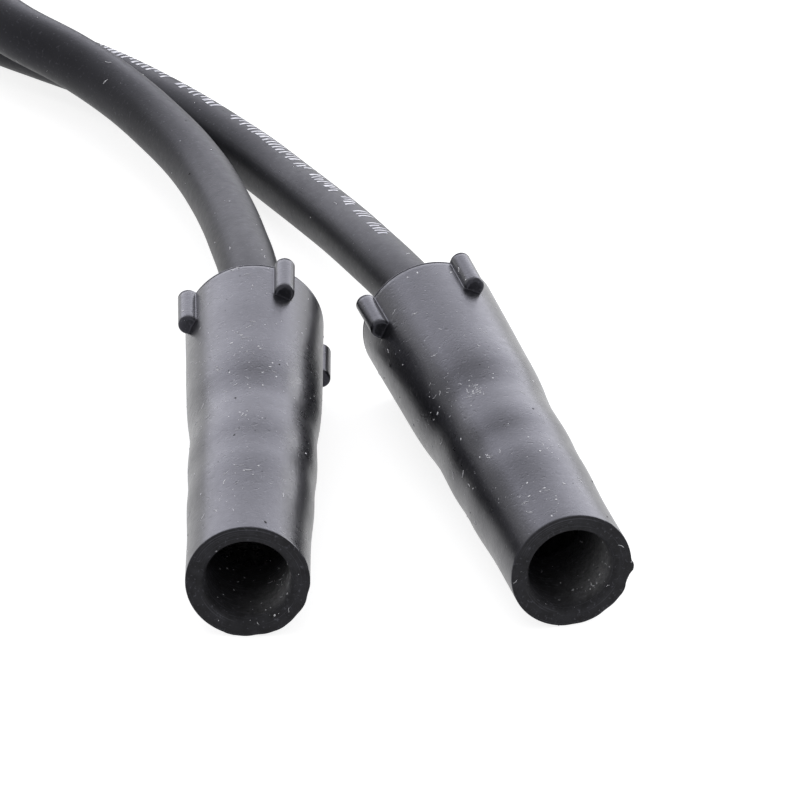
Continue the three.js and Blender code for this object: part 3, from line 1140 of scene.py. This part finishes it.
@dataclass
class Print:
    """Worn generic strokes printed along the wire from the cap end's boot, in short groups."""

    wire: Wire
    angle_deg: float = -14.0
    height_mm: float = 1.9
    pitch_mm: float = 1.0
    stroke_mm: float = 0.42
    proud_mm: float = 0.02
    start_mm: float = 19.0
    length_mm: float = 112.0
    groups_mm: tuple[float, ...] = (6.5, 11.5, 27.5, 51.0, 63.0, 79.0, 92.0)
    gap_mm: float = 1.9
    shown: float = 0.9
    widths: tuple[float, float] = (0.85, 1.1)
    seed: int = 11
    kinds: tuple[Stroke, ...] = (
        Stroke(0.0, 1.0, 0.0, 1.0), Stroke(0.0, 1.0, 0.9, 0.9), Stroke(0.0, 0.66, 0.4, 1.2),
        Stroke(0.3, 1.0, 0.6, 1.0), Stroke(0.1, 0.9, 0.3, 1.5),
    )

    def patch(self, name: str, kind: Stroke) -> Piece:
        """Makes one stroke as a patch of the wire's surface, with the wire's axis along X, facing +Z."""
        radius = self.wire.diameter_mm / 2 + self.proud_mm
        half = self.height_mm / 2 / radius
        points = []
        for share in np.linspace(kind.low, kind.high, 6):
            turn = half * (2 * share - 1)
            middle = kind.lean * self.stroke_mm * (share - 0.5)
            for side in (-0.5, 0.5):
                x = middle + side * kind.thick * self.stroke_mm
                points.append((x, -radius * math.sin(turn), radius * math.cos(turn)))
        faces = [(2 * i, 2 * i + 1, 2 * i + 3, 2 * i + 2) for i in range(5)]
        made = mesh_from(name, np.array(points) * MM, faces)
        made.data.flip_normals()
        return made

    def tree(self, strokes: bpy.types.Collection, ink: Material) -> Tree:
        """Builds the tree that sets one random stroke on each point of the print line."""
        thinnest, thickest = self.widths
        sizes = {"Shown": self.shown, "Smallest": thinnest, "Largest": thickest}
        tree = Tree("print_strokes", sizes)
        picked = tree.node("GeometryNodeCollectionInfo", {"Collection": strokes, "Separate Children": True})
        facing = tree.node("GeometryNodeInputNamedAttribute", {"Name": "facing"}, data_type="QUATERNION")
        turned = next(s for s in facing.outputs if s.enabled and s.name == "Attribute")
        shown = tree.random(tree.size("Shown"), 1, self.seed, "BOOLEAN")
        scale = tree.random(tree.size("Smallest"), tree.size("Largest"), self.seed + 1)
        placed = tree.node(
            "GeometryNodeInstanceOnPoints",
            {
                "Points": tree.size("Geometry"),
                "Selection": shown,
                "Instance": picked.outputs[0],
                "Pick Instance": True,
                "Instance Index": tree.random(0, len(strokes.objects) - 1, self.seed + 2, "INT"),
                "Rotation": turned,
                "Scale": tree.vector(scale, 1.0, 1.0),
            },
        )
        tree.finish(placed.outputs[0], ink)
        return tree

    def line(self) -> tuple[np.ndarray, list[Matrix]]:
        """Where the strokes stand: points on the wire's axis, and the frame at each."""
        path = self.wire.path[::-1]
        tangents, first, second = carried_frames(path, (0, 0, 1))
        at = distances(path) / MM
        begin = self.start_mm + self.wire.insertion_mm
        turn = math.radians(self.angle_deg)
        points, frames = [], []
        for number in range(int(self.length_mm / self.pitch_mm)):
            along = number * self.pitch_mm
            if any(0 <= g - along < self.gap_mm for g in self.groups_mm):
                continue
            i = int(np.searchsorted(at, begin + along))
            up = Vector(first[i] * math.cos(turn) - second[i] * math.sin(turn))
            x = Vector(tangents[i])
            points.append(path[i])
            frames.append(Matrix((x, up.cross(x), up)).transposed())
        return np.array(points), frames

    def build(self, finishes: Finishes) -> Piece:
        """Builds the print as one thin piece on the wire."""
        strokes = bpy.data.collections.new("print_stroke_kinds")
        for i, kind in enumerate(self.kinds):
            made = self.patch(f"stroke_kind_{i}", kind)
            bpy.context.scene.collection.objects.unlink(made)
            strokes.objects.link(made)
        points, frames = self.line()
        carrier = mesh_from("wire_print", points, [])
        turned = carrier.data.attributes.new("facing", "QUATERNION", "POINT")
        turned.data.foreach_set("value", [v for m in frames for v in m.to_quaternion()])
        self.tree(strokes, finishes.ink).apply(carrier)
        for made in list(strokes.objects):
            bpy.data.objects.remove(made)
        bpy.data.collections.remove(strokes)
        return carrier


# The tie


@dataclass
class Tie:
    """The nylon tie round the coil: a strap, a locking head with its slot, and a cut, toothed tail."""

    wire: Wire
    layers: int = 2
    fit_mm: float = 0.3
    thickness_mm: float = 1.1
    width_mm: float = 3.6
    head_mm: float = 5.2
    head_height_mm: float = 4.0
    tail_mm: float = 7.0
    tail_edge_mm: float = 0.25
    head_edge_mm: float = 0.35
    slot_play_mm: tuple[float, float] = (0.3, 0.5)
    tooth_pitch_mm: float = 0.7
    tooth_mm: tuple[float, float, float] = (0.4, 2.4, 0.24)
    tooth_edge_mm: float = 0.07
    toothless_mm: float = 0.6

    @property
    def placing(self) -> Matrix:
        """The tie's frame, X away from the coil's centre and Z up through the leaning bundle."""
        wire = self.wire
        lean = math.asin(wire.coil_lift_mm / (2 * wire.coil_radius_mm))
        centre = Matrix.Translation(Vector((*wire.coil_centre_mm, 0)) * MM)
        turned = Matrix.Rotation(math.radians(wire.tie_angle_deg), 4, "Z")
        raised = Matrix.Translation((0, 0, wire.coil_radius_mm * math.sin(lean) * MM))
        leaning = Matrix.Rotation(-lean, 4, "Y")
        return centre @ turned @ raised @ leaning @ Matrix.Translation((wire.coil_radius_mm * MM, 0, 0))

    def loop(self, margin: float, steps: int) -> np.ndarray:
        """Rounded outline of the bundle at a margin, as X and Z pairs."""
        radius = self.wire.diameter_mm / 2
        high = self.wire.diameter_mm * self.layers - radius
        top = np.linspace(0, math.pi, steps)
        arcs = [(top, high), (top + math.pi, radius)]
        reach = radius + margin
        return np.vstack([np.column_stack([reach * np.cos(a), z + reach * np.sin(a)]) for a, z in arcs])

    def strap(self) -> Piece:
        """Sweeps the strap's rounded section round the bundle."""
        half, edge = self.width_mm / 2, self.tail_edge_mm
        low, high = self.fit_mm, self.fit_mm + self.thickness_mm
        section = [
            (low, -half + edge), (low, half - edge), (low + edge, half), (high - edge, half),
            (high, half - edge), (high, -half + edge), (high - edge, -half), (low + edge, -half),
        ]
        rings = []
        for margin, across in section:
            outline = self.loop(margin, 20)
            rings.append(np.column_stack([outline[:, 0], np.full(len(outline), across), outline[:, 1]]))
        return mesh_from("strap", np.vstack(rings) * MM, ring_faces(len(rings), len(rings[0]), loop=True))

    def block(self, name: str, size: Point, centre: Point) -> Piece:
        """Makes a plain block in millimetres, for bevelling."""
        corners = np.array([(x, y, z) for x in (-0.5, 0.5) for y in (-0.5, 0.5) for z in (-0.5, 0.5)])
        faces = [(0, 1, 3, 2), (4, 6, 7, 5), (0, 4, 5, 1), (2, 3, 7, 6), (0, 2, 6, 4), (1, 5, 7, 3)]
        return mesh_from(name, (corners * size + centre) * MM, faces)

    def teeth(self, nylon: Material, start: float, base: float) -> Piece:
        """Makes the row of small teeth for the tail's upper side.

        Args:
            nylon: The finish.
            start: Where the row starts, in millimetres along X.
            base: The height that they stand on.

        Returns:
            The teeth, as one object.
        """
        names = ("Length", "Width", "Height")
        count = int(self.tail_mm / self.tooth_pitch_mm) - 1
        sizes = {name: side * MM for name, side in zip(names, self.tooth_mm)}
        tree = Tree("tie_teeth", {"Pitch": self.tooth_pitch_mm * MM, "Count": count, **sizes})
        tooth = tree.node("GeometryNodeMeshCube", {"Size": tree.vector(*(tree.size(name) for name in names))})
        steps = {"Count": tree.size("Count"), "Offset": tree.vector(tree.size("Pitch"))}
        row = tree.node("GeometryNodeMeshLine", steps)
        place = tree.node(
            "GeometryNodeSetPosition", {"Geometry": row.outputs[0], "Offset": (start * MM, 0, base * MM)}
        )
        placed = tree.node(
            "GeometryNodeInstanceOnPoints", {"Points": place.outputs[0], "Instance": tooth.outputs[0]}
        )
        tree.finish(placed.outputs[0], nylon)
        made = mesh_from("teeth", np.zeros((1, 3)), [])
        tree.apply(made)
        return bevelled(made, self.tooth_edge_mm * MM, 2)

    def build(self, finishes: Finishes) -> Piece:
        """Builds and dresses the tie."""
        top = self.wire.diameter_mm * self.layers + self.fit_mm
        strap = self.strap()
        head_z = top + self.fit_mm + self.head_height_mm / 2
        head = self.block("head", (self.head_mm, self.head_mm, self.head_height_mm), (0, 0, head_z))
        tail_z = top + self.head_height_mm - self.thickness_mm
        wide, high = self.slot_play_mm
        slot_size = (self.head_mm + 2, self.width_mm + wide, self.thickness_mm + high)
        slot = self.block("slot", slot_size, (0, 0, tail_z))
        cut = head.modifiers.new("slot", "BOOLEAN")
        cut.object = slot
        cut.solver = "EXACT"
        plain_mesh(head)
        bpy.data.objects.remove(slot)
        bevelled(head, self.head_edge_mm * MM, 3)
        tail_length = self.tail_mm + self.head_mm / 2
        tail_size = (tail_length, self.width_mm, self.thickness_mm)
        tail = self.block("tail", tail_size, (-tail_length / 2, 0, tail_z))
        bevelled(tail, self.tail_edge_mm * MM, 3)
        teeth = self.teeth(finishes.nylon, self.toothless_mm - tail_length, tail_z + self.thickness_mm / 2)
        made = joined("cable_tie_nylon", [strap, head, tail, teeth])
        made.data.transform(self.placing)
        made.data.polygons.foreach_set("use_smooth", [True] * len(made.data.polygons))
        return dress(made, finishes.nylon)


# Dust and small marks


@dataclass
class Dust:
    """Loose specks, short rubbed marks and dark pits on a finished piece."""

    seed: int
    per_m2: float = 190000.0
    marks_per_m2: float = 50000.0
    smallest_mm: float = 0.075
    largest_mm: float = 0.27
    clean: float = 0.4
    mark_radius_mm: float = 0.8
    mark_width_mm: float = 0.068
    mark_arc: float = 0.9
    pits_share: float = 0.12
    pits_mm: tuple[float, float] = (0.12, 0.28)
    pits_seed_step: int = 40

    def scattered(self, tree: Tree, density: Socket, grain: Socket, scale: Socket, seed: int) -> Socket:
        """Sets grains on the tree's surface, each turned at random about the surface's normal.

        Args:
            tree: The tree under construction.
            density: Grains a square metre, before the surface's own weight.
            grain: The geometry of one grain, lying in its XY plane.
            scale: Its scale.
            seed: Seed for the turns.

        Returns:
            The instances.
        """
        weight = tree.node("GeometryNodeInputNamedAttribute", {"Name": "dust_weight"}, data_type="FLOAT")
        thick = tree.maths("MULTIPLY", density, weight.outputs["Attribute"])
        points = tree.node(
            "GeometryNodeDistributePointsOnFaces",
            {"Mesh": tree.size("Geometry"), "Density": thick, "Seed": tree.size("Seed")},
        )
        turn = tree.node(
            "FunctionNodeAxisAngleToRotation", {"Axis": (0, 0, 1), "Angle": tree.random(0.0, 6.28, seed)}
        )
        turned = tree.node(
            "FunctionNodeRotateRotation",
            {"Rotation": points.outputs["Rotation"], "Rotate By": turn.outputs[0]},
            rotation_space="LOCAL",
        )
        where = {"Points": points.outputs["Points"], "Rotation": turned.outputs[0], "Scale": scale}
        return tree.node("GeometryNodeInstanceOnPoints", {**where, "Instance": grain}).outputs[0]

    def tree(self, material: Material) -> Tree:
        """Builds the tree that scatters flat specks and thin curved marks."""
        smallest, largest = self.smallest_mm * MM, self.largest_mm * MM
        counts = {"Specks": self.per_m2, "Marks": self.marks_per_m2, "Seed": self.seed}
        tree = Tree("dust_specks", {**counts, "Smallest": smallest, "Largest": largest})
        few_large = tree.maths("POWER", tree.random(0.0, 1.0, 3), 3.2)
        sizes = {"Value": few_large, "To Min": tree.size("Smallest"), "To Max": tree.size("Largest")}
        size = tree.node("ShaderNodeMapRange", sizes).outputs[0]
        wide = tree.maths("MULTIPLY", size, tree.random(0.6, 2.2, 4))
        thin = tree.maths("MULTIPLY", size, 0.5)
        shape = tree.vector(wide, size, thin)
        grain = tree.node("GeometryNodeMeshIcoSphere", {"Radius": 0.5, "Subdivisions": 1})
        specks = self.scattered(tree, tree.size("Specks"), grain.outputs[0], shape, 5)
        radius = self.mark_radius_mm * MM
        bend = {"Start Angle": -self.mark_arc / 2, "Sweep Angle": self.mark_arc}
        arc = tree.node("GeometryNodeCurveArc", {"Resolution": 7, "Radius": radius, **bend})
        thick = self.mark_width_mm / 2 * MM
        hair = tree.node("GeometryNodeCurvePrimitiveCircle", {"Resolution": 6, "Radius": thick})
        line = tree.node(
            "GeometryNodeCurveToMesh",
            {"Curve": arc.outputs[0], "Profile Curve": hair.outputs[0], "Fill Caps": True},
        )
        middle = tree.node(
            "GeometryNodeTransform", {"Geometry": line.outputs[0], "Translation": (-radius, 0, 0)}
        )
        marks = self.scattered(tree, tree.size("Marks"), middle.outputs[0], tree.random(0.4, 1.2, 7), 6)
        both = tree.node("GeometryNodeJoinGeometry", {"Geometry": [specks, marks]})
        tree.finish(both.outputs[0], material)
        return tree

    def weights(self, skin: Piece, boot: Boot | None) -> np.ndarray:
        """How dusty each vertex of a skin is, from its boot's patches."""
        count = len(skin.data.vertices)
        weights = np.full(count, self.clean)
        if boot is None:
            return weights
        points = np.empty(count * 3)
        skin.data.vertices.foreach_get("co", points)
        back = np.array(boot.placing.inverted())
        local = (points.reshape(-1, 3) @ back[:3, :3].T + back[:3, 3]) / MM
        reach, turn, from_mouth = boot.polar(local)
        inside = reach < (boot.bore_mm + boot.mouth_radius_mm) / 2
        for patch in boot.patches:
            apart = np.radians(degrees_apart(turn, patch.angle)) * reach
            far = np.hypot(from_mouth - patch.from_mouth, apart) / patch.radius
            weights += patch.amount * np.exp(-(far**2)) * (inside == patch.inside)
        return weights

    def build(self, skin: Piece, finishes: Finishes, boot: Boot | None = None) -> list[Piece]:
        """Scatters the dust and the pits over a finished piece.

        Args:
            skin: The piece.
            finishes: The lead's finishes.
            boot: The boot whose patches gather more dust, where the piece is a boot.

        Returns:
            The dust and the pits.
        """
        made = []
        for kind, material in (("dust", finishes.dust), ("pits", finishes.soot)):
            piece = new_object(f"{skin.name}_{kind}", skin.data.copy())
            weight = piece.data.attributes.new("dust_weight", "FLOAT", "POINT")
            weight.data.foreach_set("value", self.weights(skin, boot if kind == "dust" else None))
            made.append(self.tree(material).apply(piece, **(self.pit_sizes() if kind == "pits" else {})))
        return made

    def pit_sizes(self) -> dict[str, float | int]:
        """Values of the tree's inputs for the dark pits, which are fewer and have no marks."""
        smallest, largest = (size * MM for size in self.pits_mm)
        seed = self.seed + self.pits_seed_step
        specks = self.per_m2 * self.pits_share
        return {"Specks": specks, "Marks": 0.0, "Seed": seed, "Smallest": smallest, "Largest": largest}


# The bench, the light and the camera


@dataclass(frozen=True)
class Lamp:
    """A soft rectangular lamp that points at a place, in metres and watts."""

    name: str
    place: Point
    aim: Point
    size: tuple[float, float]
    watts: float
    colour: Colour = WHITE

    def build(self) -> None:
        """Adds the lamp."""
        data = bpy.data.lights.new(self.name, "AREA")
        data.shape = "RECTANGLE"
        data.size, data.size_y = self.size
        data.energy = self.watts
        data.color = self.colour
        made = new_object(self.name, data)
        made.location = self.place
        made.rotation_mode = "QUATERNION"
        made.rotation_quaternion = (Vector(self.aim) - Vector(self.place)).to_track_quat("-Z", "Y")


@dataclass
class Studio:
    """White bench, soft lamps and the photograph's camera."""

    azimuth_deg: float = -7.453
    elevation_deg: float = 26.023
    roll_deg: float = -0.153
    distance_m: float = 0.85
    target_m: tuple[float, float, float] = (0.006456, 0.027437, 0.0)
    focal_px: float = 7328.2
    frame_px: float = 800.0
    sensor_mm: float = 36.0
    bench_half_m: float = 4.0
    bench_grey: float = 0.42
    bench_glow: float = 0.82
    ambient: float = 0.7
    lamps: tuple[Lamp, ...] = (
        Lamp("back_softbox", (0.05, 1.25, 0.5), (0, 0.05, 0.02), (1.7, 0.9), 11.6, (0.89, 0.89, 1.0)),
        Lamp("right_softbox", (0.95, 0.5, 0.28), (0.1, 0.1, 0), (0.9, 0.5), 7),
        Lamp("top_softbox", (-0.1, 0.1, 1.2), (0, 0.05, 0), (0.9, 0.9), 2),
    )

    def camera(self) -> None:
        """Places the camera as fitted to the photograph."""
        azimuth, elevation = math.radians(self.azimuth_deg), math.radians(self.elevation_deg)
        back = Vector((
            math.sin(azimuth) * math.cos(elevation),
            -math.cos(azimuth) * math.cos(elevation),
            math.sin(elevation),
        ))
        data = bpy.data.cameras.new("camera")
        data.sensor_width = self.sensor_mm
        data.lens = self.sensor_mm * self.focal_px / self.frame_px
        data.clip_start, data.clip_end = 0.01, 20
        made = new_object("camera", data)
        made.location = Vector(self.target_m) + back * self.distance_m
        made.rotation_mode = "QUATERNION"
        roll = Matrix.Rotation(math.radians(self.roll_deg), 3, "Z").to_quaternion()
        made.rotation_quaternion = (-back).to_track_quat("-Z", "Y") @ roll
        bpy.context.scene.camera = made

    def strength(self, nodes: Nodes, lighting: float, look: float) -> Socket:
        """Adds nodes for a strength that differs between lighting things and being looked at.

        Args:
            nodes: The node tree of the source.
            lighting: The strength on rays that light things.
            look: The strength on camera, mirrored and refracted rays.

        Returns:
            The strength.
        """
        path = nodes.node("ShaderNodeLightPath")
        shown = path.outputs["Is Camera Ray"]
        for kind in ("Is Glossy Ray", "Is Transmission Ray"):
            shown = nodes.maths("MAXIMUM", shown, path.outputs[kind])
        sockets = {"Value": shown, "To Min": lighting, "To Max": look}
        return nodes.node("ShaderNodeMapRange", sockets).outputs[0]

    def world(self) -> None:
        """Gives the surroundings a white look and a lower light on matt surfaces."""
        world = bpy.data.worlds.new("surroundings")
        world.use_nodes = True
        world.node_tree.nodes.clear()
        bpy.context.scene.world = world
        nodes = Nodes(world.node_tree)
        light = {"Color": (*WHITE, 1), "Strength": self.strength(nodes, self.ambient, 1.0)}
        background = nodes.node("ShaderNodeBackground", light)
        nodes.node("ShaderNodeOutputWorld", {"Surface": background.outputs[0]})

    def bench(self) -> None:
        """Lays the white bench, which keeps the lead's shadow."""
        half, grey = self.bench_half_m, self.bench_grey
        corners = np.array([(-half, -half, 0), (half, -half, 0), (half, half, 0), (-half, half, 0)])
        shader = Shader("bench_white")
        paper = shader.node("ShaderNodeBsdfDiffuse", {"Color": (grey, grey, grey, 1)})
        light = shader.node("ShaderNodeEmission", {"Strength": self.strength(shader, 0.0, self.bench_glow)})
        both = shader.node("ShaderNodeAddShader", {0: paper.outputs[0], 1: light.outputs[0]})
        dress(mesh_from("bench", corners, [(0, 1, 2, 3)]), shader.finish(both))

    def build(self) -> None:
        """Sets up the camera, the bench, the surroundings and the lamps."""
        bpy.context.scene.view_settings.view_transform = "Standard"
        self.camera()
        self.bench()
        self.world()
        for lamp in self.lamps:
            lamp.build()


def keep(made: Piece, slot: Slot, *nodes: str) -> Piece:
    """Sets a finished piece on the lead's body.

    Args:
        made: The piece.
        slot: The record's slot for the piece; not used.
        nodes: The CAD nodes that it stands for.

    Returns:
        The same piece.
    """
    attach(made, BODY)
    if nodes:
        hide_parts(*nodes)
    log.info("%s: %d faces", made.name, len(made.data.polygons))
    return made


def main() -> None:
    """Builds the lead: camera and wire first, then the ends, the tie, the print and the dust."""
    logging.basicConfig(level=logging.INFO, format="%(message)s")
    Studio().build()
    finishes = Finishes.built()
    plug = Boot(
        End.PLUG, -10.08, 30.75, -7.2, bow_mm=0.26, seed=3,
        flaws=[(-13.5, -0.12), (-38, -0.08), (-58.7, 0.06), (-82, -0.12), (-107, 0.05), (20, 0.04)],
        patches=[
            DustPatch(37.6, 104, 5, 2.4), DustPatch(46, 118, 5, 0.7), DustPatch(23.5, 93, 2.2, 4.5),
            DustPatch(9.5, 103, 3.4, 3.4), DustPatch(47, 145, 6, 1.0), DustPatch(30, 150, 6, 0.9),
            DustPatch(59.6, 107, 0.5, 60), DustPatch(2.5, -25, 3, 5, inside=True),
            DustPatch(4, -60, 3, 4, inside=True),
        ],
    )
    cap = Boot(
        End.CAP, 10.08, 28.59, 7.2, bow_mm=0.0, seed=8,
        flaws=[(-3.5, 0.3), (-18, -0.16), (-29, 0.06), (-54, -0.1), (-87, -0.07), (51, 0.04)],
        patches=[
            DustPatch(30.6, 110, 0.8, 90), DustPatch(31.5, 114, 2.4, 3.5), DustPatch(33, 146, 4, 2.6),
            DustPatch(18, 152, 3, 2.0), DustPatch(16, 77, 2.2, 3.5), DustPatch(4, 98, 2.4, 2.6),
            DustPatch(8.5, 121, 2.6, 2.0), DustPatch(45, 100, 6, 0.6), DustPatch(2, -45, 3, 5, inside=True),
        ],
    )
    wire = Wire(plug, cap)
    jacket = keep(wire.build(finishes), Slot.JACKET, "wire_plug_end", "wire_cap_end", "wire_coil")
    tie = keep(Tie(wire).build(finishes), Slot.TIE, "cable_tie")
    lettering = keep(Print(wire).build(finishes), Slot.JACKET)
    wire_dust = Dust(21, 70000.0, 7000.0, smallest_mm=0.06, largest_mm=0.22)
    specks = [keep(piece, Slot.JACKET) for piece in wire_dust.build(jacket, finishes)]
    for boot in (plug, cap):
        name = boot.end.value
        skin = keep(boot.build(finishes), Slot.BOOT, f"{name}_boot")
        for piece in Dust(boot.seed).build(skin, finishes, boot):
            keep(piece, Slot.BOOT)
        terminal = Terminal(boot)
        keep(terminal.shell(finishes), Slot.TERMINAL, f"{name}_terminal")
        keep(terminal.clip(finishes), Slot.SPRING, f"{name}_spring_clip")
        keep(terminal.conductor(finishes), Slot.CORE, f"{name}_core_tail")


if __name__ == "__main__":
    main()
